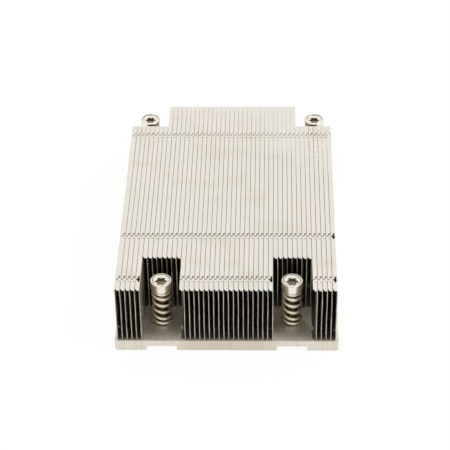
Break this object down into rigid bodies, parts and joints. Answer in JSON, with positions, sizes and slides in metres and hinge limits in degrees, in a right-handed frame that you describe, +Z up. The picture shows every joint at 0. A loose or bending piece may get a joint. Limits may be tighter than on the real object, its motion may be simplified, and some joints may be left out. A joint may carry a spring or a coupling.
{
  "type": "passive server processor heatsink",
  "caption": "Passive processor heatsink for a low server: a flat plate under a stack of interlocked folded fins, held by captive spring screws in notches of the stack.",
  "frame": {"origin": "centre of the plate's contact face, on the surface it rests on", "axes": "+Z up, away from the processor; -Y towards the side with the two notches; +X to the right of someone who faces that side"},
  "size_m": [0.0924, 0.138, 0.0318],
  "materials": {
    "plate_metal": "milled, dull",
    "fin_sheet": "bright rolled sheet, lightly stained",
    "screw_plating": "bright nickel",
    "spring_wire": "bright nickel",
    "clip_steel": "satin"
  },
  "bodies": {
    "heatsink": {"base_plate": "plate_metal", "end_sheet": "fin_sheet", "fin_01": "fin_sheet", "fin_02": "fin_sheet", "fin_03": "fin_sheet", "fin_04": "fin_sheet", "fin_05": "fin_sheet", "fin_06": "fin_sheet", "fin_07": "fin_sheet", "fin_08": "fin_sheet", "fin_09": "fin_sheet", "fin_10": "fin_sheet", "fin_11": "fin_sheet", "fin_12": "fin_sheet", "fin_13": "fin_sheet", "fin_14": "fin_sheet", "fin_15": "fin_sheet", "fin_16": "fin_sheet", "fin_17": "fin_sheet", "fin_18": "fin_sheet", "fin_19": "fin_sheet", "fin_20": "fin_sheet", "fin_21": "fin_sheet", "fin_22": "fin_sheet", "fin_23": "fin_sheet", "fin_24": "fin_sheet", "fin_25": "fin_sheet", "fin_26": "fin_sheet", "fin_27": "fin_sheet", "fin_28": "fin_sheet", "fin_29": "fin_sheet", "fin_30": "fin_sheet", "fin_31": "fin_sheet", "fin_32": "fin_sheet", "fin_33": "fin_sheet", "fin_34": "fin_sheet", "fin_35": "fin_sheet", "fin_36": "fin_sheet", "fin_37": "fin_sheet", "fin_38": "fin_sheet", "fin_39": "fin_sheet", "fin_40": "fin_sheet", "fin_41": "fin_sheet", "fin_42": "fin_sheet", "fin_43": "fin_sheet", "fin_44": "fin_sheet", "fin_45": "fin_sheet", "spring_front_left": "spring_wire", "spring_front_right": "spring_wire", "spring_rear_left": "spring_wire", "spring_rear_right": "spring_wire"},
    "slider_front_left": {"clip_front_left": "clip_steel"},
    "fastener_front_left": {"screw_front_left": "screw_plating"},
    "slider_front_right": {"clip_front_right": "clip_steel"},
    "fastener_front_right": {"screw_front_right": "screw_plating"},
    "slider_rear_left": {"clip_rear_left": "clip_steel"},
    "fastener_rear_left": {"screw_rear_left": "screw_plating"},
    "slider_rear_right": {"clip_rear_right": "clip_steel"},
    "fastener_rear_right": {"screw_rear_right": "screw_plating"}
  },
  "joints": [
    {"name": "press_front_left", "type": "slide", "parent": "heatsink", "child": "slider_front_left", "axis": [0, 0, -1], "range_m": [0, 0.005], "stiffness_N_per_m": 20500, "deforming": ["spring_front_left"]},
    {"name": "turn_front_left", "type": "hinge", "parent": "slider_front_left", "child": "fastener_front_left", "pos_m": [-0.027, -0.0556, 0.015], "axis": [0, 0, 1], "continuous": true},
    {"name": "press_front_right", "type": "slide", "parent": "heatsink", "child": "slider_front_right", "axis": [0, 0, -1], "range_m": [0, 0.005], "stiffness_N_per_m": 20500, "deforming": ["spring_front_right"]},
    {"name": "turn_front_right", "type": "hinge", "parent": "slider_front_right", "child": "fastener_front_right", "pos_m": [0.027, -0.0556, 0.015], "axis": [0, 0, 1], "continuous": true},
    {"name": "press_rear_left", "type": "slide", "parent": "heatsink", "child": "slider_rear_left", "axis": [0, 0, -1], "range_m": [0, 0.005], "stiffness_N_per_m": 20500, "deforming": ["spring_rear_left"]},
    {"name": "turn_rear_left", "type": "hinge", "parent": "slider_rear_left", "child": "fastener_rear_left", "pos_m": [-0.038, 0.0618, 0.015], "axis": [0, 0, 1], "continuous": true},
    {"name": "press_rear_right", "type": "slide", "parent": "heatsink", "child": "slider_rear_right", "axis": [0, 0, -1], "range_m": [0, 0.005], "stiffness_N_per_m": 20500, "deforming": ["spring_rear_right"]},
    {"name": "turn_rear_right", "type": "hinge", "parent": "slider_rear_right", "child": "fastener_rear_right", "pos_m": [0.038, 0.0618, 0.015], "axis": [0, 0, 1], "continuous": true}
  ]
}
